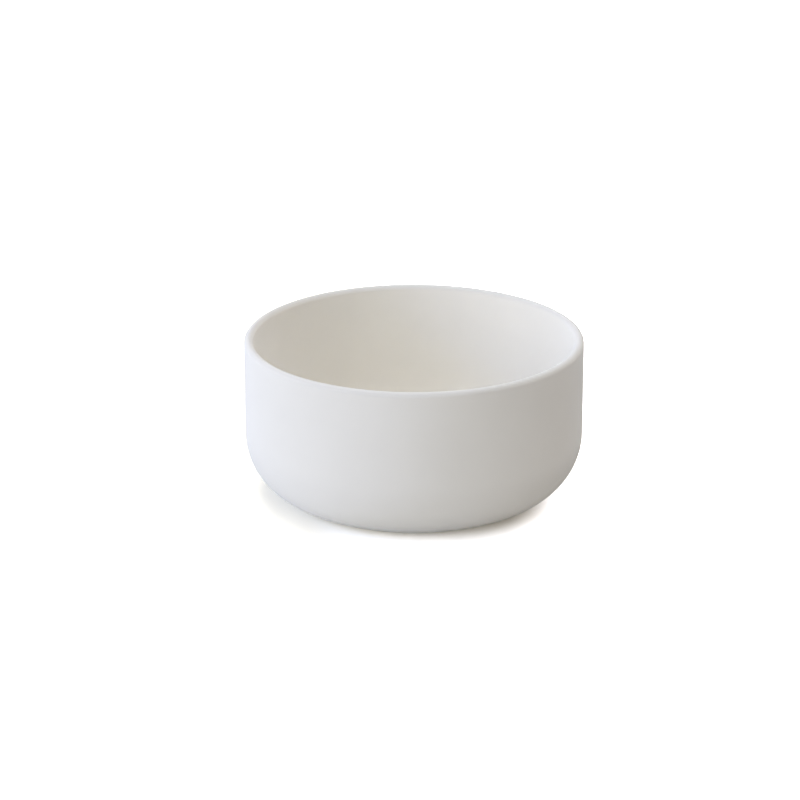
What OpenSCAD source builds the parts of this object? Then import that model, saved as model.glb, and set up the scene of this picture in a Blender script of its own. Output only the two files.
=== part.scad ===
// Wide, low porcelain crucible: a straight round wall on a broadly rounded base, with a
// fully rounded lip and no lid or pouring spout. The fired body carries one coat of matt
// glaze inside and out, and stands on a low bare foot ring. Millimetres, +Z up, with the
// origin on the table at the centre of the foot.

/* [Vessel] */
// Outside diameter, over the glaze
outer_d = 100; // [84:1:120]
// Overall height, from the table to the top of the lip
height = 48.8; // [40:0.2:60]
// Wall thickness, with the glaze on both faces
wall_t = 2.8; // [2.4:0.1:4]
// Floor thickness inside the foot ring, with the glaze on top
floor_t = 3.4; // [3:0.1:5]
// Outside radius where the wall turns into the base
corner_r = 19.2; // [16:0.2:23]
// Inside radius where the wall turns into the floor
inner_corner_r = 16.4; // [15:0.2:20]

/* [Glaze] */
// Thickness of the fired glaze
glaze_t = 0.25; // [0.15:0.01:0.3]
// Width of bare body left between the foot ring and the edge of the glaze
glaze_setback = 1; // [0.5:0.1:2]

/* [Foot] */
// Width of the foot ring
foot_w = 3.6; // [2.8:0.1:6]
// Height of the glazed base above the table
foot_h = 0.6; // [0.5:0.1:1.2]
// Depth of the well inside the foot ring, up from the table
well_h = 1.2; // [0.8:0.1:1.6]
// Radius on the edges of the foot ring, and in the corner of the well
foot_edge_r = 0.4; // [0.2:0.05:0.45]

/* [Hidden] */
$fn = 200;

outer_r = outer_d / 2;
cavity_r = outer_r - wall_t;
lip_r = wall_t / 2;
lip_z = height - lip_r;
floor_z = well_h + floor_t;
// Height inside the base, clear of both of its faces
base_mid_z = (foot_h + floor_z) / 2;
// Outer radius of the foot ring, where the rounded base turns flat
foot_r = outer_r - corner_r;
foot_inner_r = foot_r - foot_w;
glaze_edge_r = foot_r + glaze_setback;
// How far a cutting shape runs past the face that it cuts
overrun = 1;

// Half section of a round plug from the axis out to radius r, between heights bottom and
// top, with its lower edge rounded by radius edge_r.
module plug_section(r, bottom, top, edge_r) {
    translate([0, bottom]) square([r - edge_r, top - bottom]);
    translate([0, bottom + edge_r]) square([r, top - bottom - edge_r]);
    intersection() {
        translate([r - edge_r, bottom + edge_r]) circle(edge_r);
        translate([r - edge_r, bottom]) square(edge_r);
    }
}

// Half section of the lip that ends the wall: the upper half of a disc of radius r.
module lip_section(r) {
    intersection() {
        translate([outer_r - lip_r, lip_z]) circle(r);
        translate([outer_r - lip_r - r, lip_z]) square([2 * r, r]);
    }
}

// Half section of the vessel, drawn a distance inset below each of its glazed faces.
module vessel_section(inset) {
    difference() {
        plug_section(outer_r - inset, foot_h + inset, lip_z, corner_r - inset);
        plug_section(cavity_r + inset, floor_z - inset, lip_z + overrun, inner_corner_r + inset);
    }
    lip_section(lip_r - inset);
}

// Half section of the foot ring, rounded on both of its lower edges.
module foot_section() {
    translate([foot_r - foot_w / 2, 0]) for (side = [0, 1]) {
        mirror([side, 0]) plug_section(foot_w / 2, 0, base_mid_z, foot_edge_r);
    }
}

// Half section of the well under the base, rounded on its upper edge.
module well_section() {
    translate([0, well_h]) mirror([0, 1]) {
        plug_section(foot_inner_r, 0, well_h + overrun, foot_edge_r);
    }
}

// Fired porcelain body: the whole vessel under its glaze, with the foot ring and its well.
module porcelain_body() {
    color([0.93, 0.91, 0.87]) rotate_extrude() {
        difference() {
            union() {
                vessel_section(glaze_t);
                foot_section();
                square([foot_inner_r, base_mid_z]);
            }
            well_section();
        }
    }
}

// Matt glaze: one coat of even thickness, from its edge beside the foot up the outside,
// over the lip, down the inside and across the floor.
module matt_glaze() {
    color([0.96, 0.95, 0.92]) rotate_extrude() {
        difference() {
            vessel_section(0);
            vessel_section(glaze_t);
            translate([0, -overrun]) square([glaze_edge_r, base_mid_z + overrun]);
        }
    }
}

porcelain_body();
matt_glaze();
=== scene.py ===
import math

import bpy
import numpy as np
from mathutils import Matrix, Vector


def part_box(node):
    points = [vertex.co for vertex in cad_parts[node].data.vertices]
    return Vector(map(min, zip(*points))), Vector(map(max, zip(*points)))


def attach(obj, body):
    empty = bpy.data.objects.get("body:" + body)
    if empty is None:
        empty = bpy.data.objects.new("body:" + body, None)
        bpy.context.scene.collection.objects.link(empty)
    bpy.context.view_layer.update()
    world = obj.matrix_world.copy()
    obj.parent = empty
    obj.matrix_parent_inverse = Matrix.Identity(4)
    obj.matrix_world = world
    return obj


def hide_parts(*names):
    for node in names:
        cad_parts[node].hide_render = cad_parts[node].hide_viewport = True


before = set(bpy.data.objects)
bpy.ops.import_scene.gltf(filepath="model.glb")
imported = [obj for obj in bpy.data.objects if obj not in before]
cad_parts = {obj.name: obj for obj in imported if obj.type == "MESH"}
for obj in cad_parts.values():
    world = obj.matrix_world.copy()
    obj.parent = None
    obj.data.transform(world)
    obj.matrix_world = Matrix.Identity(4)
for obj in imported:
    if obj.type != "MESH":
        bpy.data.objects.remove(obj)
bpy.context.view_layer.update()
MM = 0.001

# Porcelain body. One casting of white porcelain, fired bare and then ground flat on its foot
# ring. It shows only underneath, where the glaze stops short of the foot: the ring, the well
# inside it with the faint rings that turning left, and a narrow band of the rounded base.
glaze_low, glaze_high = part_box("matt_glaze")
outer_r = (glaze_high.x - glaze_low.x) / 2
height = glaze_high.z
wall_t = 2.8 * MM
floor_t = 3.4 * MM
corner_r = 19.2 * MM
inner_corner_r = 16.4 * MM
glaze_t = 0.25 * MM
foot_w = 3.6 * MM
foot_h = 0.6 * MM
well_h = 1.2 * MM
foot_edge_r = 0.4 * MM
turning_pitch = 1.3 * MM
turning_depth = 0.012 * MM
body_segments = 240
well_step = 0.15 * MM
foot_edge_step = 0.06 * MM
foot_flat_step = 0.2 * MM
foot_side_step = 0.1 * MM
body_step = 0.8 * MM
lip_fineness = 4
same_point = 1e-7

cavity_r = outer_r - wall_t
lip_r = wall_t / 2
lip_z = height - lip_r
floor_z = well_h + floor_t
foot_r = outer_r - corner_r
foot_inner_r = foot_r - foot_w


def line(start, end, step):
    """Points on a straight line from start to end in (radius, height), about one step apart."""
    start, end = np.array(start), np.array(end)
    count = max(2, int(np.linalg.norm(end - start) / step) + 1)
    return start + np.linspace(0, 1, count)[:, None] * (end - start)


def arc(centre, radius, first_degrees, last_degrees, step):
    """Points on an arc in (radius, height): the centre plus the arc's radius times the cosine
    and sine of an angle that runs evenly from the first to the last."""
    span = math.radians(last_degrees - first_degrees)
    count = max(5, int(abs(span) * radius / step) + 1)
    angle = math.radians(first_degrees) + np.linspace(0, 1, count) * span
    return np.array(centre) + radius * np.stack([np.cos(angle), np.sin(angle)], axis=1)


def outline(*stretches):
    """Joins stretches of points into one outline, leaving out each point that repeats."""
    points = np.concatenate(stretches)
    moved = np.linalg.norm(np.diff(points, axis=0), axis=1) > same_point
    return points[np.r_[True, moved]]


def glazed_face(inset, first_degrees, step):
    """The vessel's face at an even distance inset below the glaze's own surface: from an angle
    on the base corner, up the outside, over the lip, down the inside and along the floor. The
    points are about one step apart, and closer on the lip."""
    base_centre = (foot_r, foot_h + corner_r)
    floor_centre = (cavity_r - inner_corner_r, floor_z + inner_corner_r)
    outside, inside = outer_r - inset, cavity_r + inset
    return outline(
        arc(base_centre, corner_r - inset, first_degrees, 360, step),
        line((outside, base_centre[1]), (outside, lip_z), step),
        arc((outer_r - lip_r, lip_z), lip_r - inset, 0, 180, step / lip_fineness),
        line((inside, lip_z), (inside, floor_centre[1]), step),
        arc(floor_centre, inner_corner_r + inset, 360, 270, step),
        line((floor_centre[0], floor_z - inset), (0, floor_z - inset), step),
    )


def turned_piece(name, profile, segments, shift=None):
    """A closed surface of revolution. Each point (radius, height) of the profile, which runs
    from the axis back to the axis, goes round it: x = radius cos(turn), y = radius sin(turn).
    shift(turn, ring) gives what to add to the radius and height at each turn."""
    turn = np.linspace(0, 2 * np.pi, segments, endpoint=False)[None, :]
    ring = profile[1:-1]
    radius, z = ring[:, :1] + 0 * turn, ring[:, 1:] + 0 * turn
    if shift is not None:
        add_radius, add_z = shift(turn, ring)
        radius, z = radius + add_radius, z + add_z
    points = np.stack([radius * np.cos(turn), radius * np.sin(turn), z], axis=2).reshape(-1, 3)
    poles = np.array([[0, 0, profile[0, 1]], [0, 0, profile[-1, 1]]])
    column = np.arange(segments)
    after = np.roll(column, -1)
    below = np.arange(len(ring) - 1)[:, None] * segments
    above = below + segments
    quads = np.stack([below + column, below + after, above + after, above + column], axis=2)
    first_pole, last_pole = len(points), len(points) + 1
    last_row = (len(ring) - 1) * segments
    first_fan = np.stack([np.full(segments, first_pole), after, column], axis=1)
    last_fan = np.stack([np.full(segments, last_pole), last_row + column, last_row + after], axis=1)
    faces = quads.reshape(-1, 4).tolist() + first_fan.tolist() + last_fan.tolist()
    mesh = bpy.data.meshes.new(name)
    mesh.from_pydata(np.concatenate([points, poles]).tolist(), [], faces)
    mesh.update()
    mesh.shade_smooth()
    piece = bpy.data.objects.new(name, mesh)
    bpy.context.scene.collection.objects.link(piece)
    return piece


body_profile = outline(
    line((0, well_h), (foot_inner_r - foot_edge_r, well_h), well_step),
    arc((foot_inner_r - foot_edge_r, well_h - foot_edge_r), foot_edge_r, 90, 0, foot_edge_step),
    arc((foot_inner_r + foot_edge_r, foot_edge_r), foot_edge_r, 180, 270, foot_edge_step),
    line((foot_inner_r + foot_edge_r, 0), (foot_r - foot_edge_r, 0), foot_flat_step),
    arc((foot_r - foot_edge_r, foot_edge_r), foot_edge_r, 270, 360, foot_edge_step),
    line((foot_r, foot_edge_r), (foot_r, foot_h + glaze_t), foot_side_step),
    glazed_face(glaze_t, 270, body_step),
)
from_corner = foot_inner_r - foot_edge_r - body_profile[:, 0]
in_well = (from_corner > 0) & (body_profile[:, 1] <= well_h)
ring_wave = (1 - np.cos(2 * np.pi * body_profile[:, 0] / turning_pitch)) / 2
ring_fade = np.clip(from_corner / (2 * turning_pitch), 0, 1)
body_profile[:, 1] += np.where(in_well, turning_depth * ring_wave * ring_fade, 0)
porcelain = turned_piece("fired_porcelain", body_profile, body_segments)


def node(tree, kind, **settings):
    """A new node in the tree, with its properties set."""
    made = tree.nodes.new(kind)
    for key, value in settings.items():
        setattr(made, key, value)
    return made


def fired_surface_group():
    """Node group for anything that came out of a kiln. Tone is a slow mottling about 0.5, Wave
    the soft unevenness of the surface, and Grain its fine tooth, each from 0 to 1."""
    group = bpy.data.node_groups.new("fired_surface", "ShaderNodeTree")
    group.interface.new_socket("Place", in_out="INPUT", socket_type="NodeSocketVector")
    taken, given = node(group, "NodeGroupInput"), node(group, "NodeGroupOutput")
    for label, octaves in (("Tone", 3.0), ("Wave", 2.0), ("Grain", 4.0)):
        scale = label + " Scale"
        group.interface.new_socket(scale, in_out="INPUT", socket_type="NodeSocketFloat")
        group.interface.new_socket(label, in_out="OUTPUT", socket_type="NodeSocketFloat")
        noise = node(group, "ShaderNodeTexNoise")
        noise.inputs["Detail"].default_value = octaves
        group.links.new(taken.outputs["Place"], noise.inputs["Vector"])
        group.links.new(taken.outputs[scale], noise.inputs["Scale"])
        group.links.new(noise.outputs["Fac"], given.inputs[label])
    return group


fired_surface = fired_surface_group()


def blended(tree, mask, low, high, low_colour, high_colour):
    """A colour that goes from one to the other as the mask goes from low to high."""
    ramp = node(tree, "ShaderNodeValToRGB")
    ramp.color_ramp.elements[0].position, ramp.color_ramp.elements[1].position = low, high
    ramp.color_ramp.elements[0].color = (*low_colour, 1)
    ramp.color_ramp.elements[1].color = (*high_colour, 1)
    tree.links.new(mask, ramp.inputs["Fac"])
    return ramp.outputs["Color"]


def ranged(tree, mask, low, high, from_value, to_value):
    """A number that goes from one value to the other as the mask goes from low to high."""
    spread = node(tree, "ShaderNodeMapRange")
    tree.links.new(mask, spread.inputs["Value"])
    spread.inputs["From Min"].default_value = low
    spread.inputs["From Max"].default_value = high
    spread.inputs["To Min"].default_value = from_value
    spread.inputs["To Max"].default_value = to_value
    return spread.outputs["Result"]


def bumped(tree, shader, *layers):
    """Chains one Bump node for each (height, distance in metres) and feeds the shader's Normal."""
    normal = None
    for surface_height, distance in layers:
        bump = node(tree, "ShaderNodeBump")
        bump.inputs["Distance"].default_value = distance
        bump.inputs["Strength"].default_value = 1.0
        tree.links.new(surface_height, bump.inputs["Height"])
        if normal is not None:
            tree.links.new(normal, bump.inputs["Normal"])
        normal = bump.outputs["Normal"]
    tree.links.new(normal, shader.inputs["Normal"])


def fired_material(name, tone_scale, wave_scale, grain_scale):
    """A new material with its tree, Principled shader, Object coordinates and fired surface."""
    material = bpy.data.materials.new(name)
    material.use_nodes = True
    tree = material.node_tree
    place = node(tree, "ShaderNodeTexCoord")
    surface = node(tree, "ShaderNodeGroup", node_tree=fired_surface)
    surface.inputs["Tone Scale"].default_value = tone_scale
    surface.inputs["Wave Scale"].default_value = wave_scale
    surface.inputs["Grain Scale"].default_value = grain_scale
    tree.links.new(place.outputs["Object"], surface.inputs["Place"])
    return material, tree, tree.nodes["Principled BSDF"], place.outputs["Object"], surface.outputs


mottle_low, mottle_high = 0.35, 0.65
noise_low, noise_high = 0.3, 0.7
bare_shade, bare_light = (0.74, 0.70, 0.62), (0.80, 0.77, 0.70)
bare_smoothest, bare_roughest = 0.62, 0.85
bare_wave_depth = 0.02 * MM
bare_grain_depth = 0.01 * MM
tool_mark_pitch = 0.45 * MM
tool_mark_depth = 0.006 * MM
ring_pitch_at_scale_1 = 0.314

bare, tree, shader, place, surface = fired_material(
    "bare_porcelain", tone_scale=60.0, wave_scale=300.0, grain_scale=5000.0
)
bare_colour = blended(tree, surface["Tone"], mottle_low, mottle_high, bare_shade, bare_light)
tree.links.new(bare_colour, shader.inputs["Base Color"])
bare_roughness = ranged(
    tree, surface["Grain"], noise_low, noise_high, bare_smoothest, bare_roughest
)
tree.links.new(bare_roughness, shader.inputs["Roughness"])
tool_marks = node(tree, "ShaderNodeTexWave", wave_type="RINGS", rings_direction="Z")
tool_marks.inputs["Scale"].default_value = ring_pitch_at_scale_1 / tool_mark_pitch
tool_marks.inputs["Distortion"].default_value = 1.5
tool_marks.inputs["Detail"].default_value = 2.0
tree.links.new(place, tool_marks.inputs["Vector"])
bumped(
    tree,
    shader,
    (surface["Wave"], bare_wave_depth),
    (tool_marks.outputs["Fac"], tool_mark_depth),
    (surface["Grain"], bare_grain_depth),
)
porcelain.data.materials.append(bare)
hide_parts("porcelain_body")
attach(porcelain, "root")

# Matt glaze. One even coat of white glaze, dipped and fired on the body inside and out. It ran
# a little thin over the lip, whose top is also painted darker as shade. Its edge was wiped back
# to just outside the foot, where it ends in a soft wavering bead.
glaze_setback = 1.0 * MM
edge_waver = 0.12 * MM
edge_reach = 2.5 * MM
edge_rise = 0.5 * MM
unevenness = 0.04 * MM
unevenness_length = 6 * MM
calm_r = 12 * MM
glaze_segments = 256
shown_step = 0.7 * MM
hidden_step = 1.6 * MM
bead_step = 0.04 * MM

edge_degrees = 270 + math.degrees(math.asin((glaze_setback + glaze_t / 2) / corner_r))
edge_turn = math.radians(edge_degrees)
edge_point = (
    foot_r + (corner_r - glaze_t / 2) * math.cos(edge_turn),
    foot_h + corner_r + (corner_r - glaze_t / 2) * math.sin(edge_turn),
)
shown_face = glazed_face(0, edge_degrees, shown_step)
glaze_profile = outline(
    glazed_face(glaze_t, edge_degrees, hidden_step)[::-1],
    arc(edge_point, glaze_t / 2, edge_degrees - 180, edge_degrees - 360, bead_step),
    shown_face,
)
along = np.gradient(glaze_profile, axis=0)
along /= np.linalg.norm(along, axis=1)[:, None]
shown = np.arange(len(glaze_profile)) > len(glaze_profile) - len(shown_face)
sunk = unevenness * shown * np.clip(glaze_profile[:, 0] / calm_r, 0, 1) ** 2
path_length = np.r_[0, np.cumsum(np.linalg.norm(np.diff(glaze_profile, axis=0), axis=1))]


def fired_glaze(turn, ring):
    """The glaze's edge wanders in radius by three waves round the foot, fading out up the base.
    Its shown face sinks by up to the unevenness, by a sum of slow sines of the turn and of the
    way along the profile: (1 + sum) / 2 times the outward direction (along z, minus along
    radius), turned inward."""
    near_edge = np.clip(1 - (ring[:, :1] - edge_point[0]) / edge_reach, 0, 1)
    low_down = ring[:, 1:] < foot_h + glaze_t + edge_rise
    waver = 0.5 * np.sin(3 * turn + 0.4) + 0.3 * np.sin(7 * turn + 2.0) + 0.2 * np.sin(17 * turn)
    way = path_length[1:-1, None] / unevenness_length
    slow = 0.5 * np.sin(4 * turn + 0.7 * way) + 0.3 * np.sin(9 * turn - way + 1.0)
    depth = sunk[1:-1, None] * (1 + slow + 0.2 * np.sin(2.3 * way + 2 * turn)) / 2
    add_radius = edge_waver * np.where(low_down, near_edge, 0) * waver - depth * along[1:-1, 1:]
    return add_radius, depth * along[1:-1, :1]


glaze = turned_piece("matt_white_glaze", glaze_profile, glaze_segments, fired_glaze)


def mixed(tree, mask, first, second):
    """A colour that goes from the first to the second with the mask. Each is four numbers or
    the socket that a colour comes from. The colour sockets are found by their place, because
    the node has others of the same name."""
    mix = node(tree, "ShaderNodeMix", data_type="RGBA")
    factor, first_colour, second_colour, result = 0, 6, 7, 2
    tree.links.new(mask, mix.inputs[factor])
    for number, colour in ((first_colour, first), (second_colour, second)):
        if isinstance(colour, tuple):
            mix.inputs[number].default_value = colour
        else:
            tree.links.new(colour, mix.inputs[number])
    return mix.outputs[result]


glaze_shade, glaze_light = (0.872, 0.854, 0.802), (0.888, 0.870, 0.818)
# The lip's top colour, darker than the coat: partly thin glaze and partly painted shade on the
# crest.
lip_thin_glaze_and_shade = (0.775, 0.765, 0.735, 1)
lip_crest = 0.4 * MM
glaze_smoothest, glaze_roughest = 0.54, 0.62
glaze_wave_depth = 0.01 * MM
glaze_grain_depth = 0.003 * MM

coat, tree, shader, place, surface = fired_material(
    "matt_white_glaze", tone_scale=35.0, wave_scale=260.0, grain_scale=6000.0
)
coat_colour = blended(tree, surface["Tone"], mottle_low, mottle_high, glaze_shade, glaze_light)
above_base = node(tree, "ShaderNodeSeparateXYZ")
tree.links.new(place, above_base.inputs["Vector"])
# Mask over the lip's top, where the darker colour paints shade as well as showing the thin glaze.
lip_glaze_and_shade_mask = ranged(tree, above_base.outputs["Z"], lip_z, height - lip_crest, 0.0, 1.0)
tree.links.new(mixed(tree, lip_glaze_and_shade_mask, coat_colour, lip_thin_glaze_and_shade), shader.inputs["Base Color"])
glaze_roughness = ranged(
    tree, surface["Tone"], noise_low, noise_high, glaze_smoothest, glaze_roughest
)
tree.links.new(glaze_roughness, shader.inputs["Roughness"])
shader.inputs["Diffuse Roughness"].default_value = 0.9
shader.inputs["Specular IOR Level"].default_value = 0.15
bumped(tree, shader, (surface["Wave"], glaze_wave_depth), (surface["Grain"], glaze_grain_depth))
glaze.data.materials.append(coat)
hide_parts("matt_glaze")
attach(glaze, "root")

# Stage: a pale floor. The camera sees it brighter than it lights the vessel, a little less so and
# warmer on the left: painted shade that deepens the shadow there and offsets the cool light's tint.
# The camera sees through it from below. It casts no shadow upward, so the two lamps underneath
# reach the base.
floor_width = 4
floor_bounce = (0.52, 0.52, 0.52, 1)
# The left colour is darker and warmer: painted shade for the floor's shadow there, and a tint
# against the cool light.
floor_seen_left = (1.85, 1.76, 1.50, 1)
floor_seen_right = (3.10, 3.05, 2.95, 1)
left_until, right_from = -0.6 * outer_r, 0.1 * outer_r
bpy.ops.mesh.primitive_plane_add(size=floor_width)
floor = bpy.context.object
floor.name = "studio_floor"
paper = bpy.data.materials.new("pale_floor")
paper.use_nodes = True
tree = paper.node_tree
tree.nodes.remove(tree.nodes["Principled BSDF"])
across = node(tree, "ShaderNodeSeparateXYZ")
tree.links.new(node(tree, "ShaderNodeTexCoord").outputs["Object"], across.inputs["Vector"])
rightward = ranged(tree, across.outputs["X"], left_until, right_from, 0, 1)
floor_seen = mixed(tree, rightward, floor_seen_left, floor_seen_right)
ray = node(tree, "ShaderNodeLightPath")
floor_colour = mixed(tree, ray.outputs["Is Camera Ray"], floor_bounce, floor_seen)
diffuse = node(tree, "ShaderNodeBsdfDiffuse")
tree.links.new(floor_colour, diffuse.inputs["Color"])
facing = node(tree, "ShaderNodeNewGeometry")
passing = node(tree, "ShaderNodeMath", operation="MAXIMUM")
tree.links.new(facing.outputs["Backfacing"], passing.inputs[0])
tree.links.new(ray.outputs["Is Shadow Ray"], passing.inputs[1])
clear = node(tree, "ShaderNodeBsdfTransparent")
one_sided = node(tree, "ShaderNodeMixShader")
tree.links.new(passing.outputs["Value"], one_sided.inputs["Fac"])
tree.links.new(diffuse.outputs["BSDF"], one_sided.inputs[1])
tree.links.new(clear.outputs["BSDF"], one_sided.inputs[2])
tree.links.new(one_sided.outputs["Shader"], tree.nodes["Material Output"].inputs["Surface"])
floor.data.materials.append(paper)

# Light: soft boxes round the vessel, each turned to face it. Two keys stand on the left, one
# low and one higher and bluer, with a wide cool fill at the front left, and the front right is
# in shade. A narrow lamp and a weak fill underneath light the foot, the well and the base.
light_distance = 1.6
foot_lamp_power = 48.0
backdrop_light = 0.02
backdrop_seen = 1.0
white = (1.0, 1.0, 1.0)


def aimed_lamp(data, azimuth, elevation, power, colour):
    """Places a lamp at light_distance, aimed at the vessel. The way to it is (cos a cos e,
    sin a cos e, sin e), for the azimuth a from +X and the elevation e, in degrees. The power
    is in watts."""
    a, e = math.radians(azimuth), math.radians(elevation)
    away = np.array([math.cos(a) * math.cos(e), math.sin(a) * math.cos(e), math.sin(e)])
    data.energy, data.color = power, colour
    lamp = bpy.data.objects.new(data.name, data)
    centre = height / 2 if elevation > 0 else 0
    lamp.location = light_distance * away + np.array([0, 0, centre])
    lamp.rotation_euler = Vector(-away).to_track_quat("-Z", "Y").to_euler()
    bpy.context.scene.collection.objects.link(lamp)


def soft_box(name, azimuth, elevation, size, power, colour):
    """A square soft light of the given size in metres, aimed at the vessel."""
    data = bpy.data.lights.new(name, "AREA")
    data.size = size
    aimed_lamp(data, azimuth, elevation, power, colour)


soft_box("key_low", 190, 8, 0.5, 5.9, (0.98, 0.97, 1.0))
soft_box("key_high", 190, 28, 0.5, 6.5, (0.40, 0.54, 1.0))
soft_box("left_fill", 225, 15, 1.2, 12.3, (0.73, 0.80, 0.91))
soft_box("front_low", 270, 12, 1.2, 2.9, (1.0, 0.82, 0.47))
soft_box("front_high", 270, 45, 1.2, 3.8, (0.82, 0.83, 1.0))
soft_box("back_right", 45, 35, 1.2, 16.6, (0.91, 0.90, 0.97))
soft_box("overhead", 90, 88, 1.2, 16.5, (1.0, 0.98, 0.92))
soft_box("under_fill", 270, -88, 1.2, 0.7, white)
foot_lamp = bpy.data.lights.new("under_foot", "SPOT")
foot_lamp.spot_size = 2 * math.atan((foot_r - foot_edge_r) / light_distance)
foot_lamp.spot_blend = 0.02
foot_lamp.shadow_soft_size = 0.0
aimed_lamp(foot_lamp, 270, -90, foot_lamp_power, white)
world = bpy.data.worlds.new("studio")
bpy.context.scene.world = world
world.use_nodes = True
tree = world.node_tree
by_camera = node(tree, "ShaderNodeLightPath").outputs["Is Camera Ray"]
strength = ranged(tree, by_camera, 0, 1, backdrop_light, backdrop_seen)
tree.nodes["Background"].inputs["Color"].default_value = (*white, 1)
tree.links.new(strength, tree.nodes["Background"].inputs["Strength"])
bpy.context.scene.view_settings.view_transform = "Standard"

# Camera: a long lens from the front and a little above.
tilt = math.radians(20.08)
view_distance = 20 * outer_r
lens_mm = 152.1
aim_x = -0.0818 * outer_r
aim_z = 0.5639 * outer_r + foot_h
camera_data = bpy.data.cameras.new("camera")
camera_data.lens = lens_mm
camera = bpy.data.objects.new("camera", camera_data)
camera.location = (
    aim_x,
    -view_distance * math.cos(tilt),
    aim_z + view_distance * math.sin(tilt),
)
camera.rotation_euler = (math.pi / 2 - tilt, 0, 0)
bpy.context.scene.collection.objects.link(camera)
bpy.context.scene.camera = camera
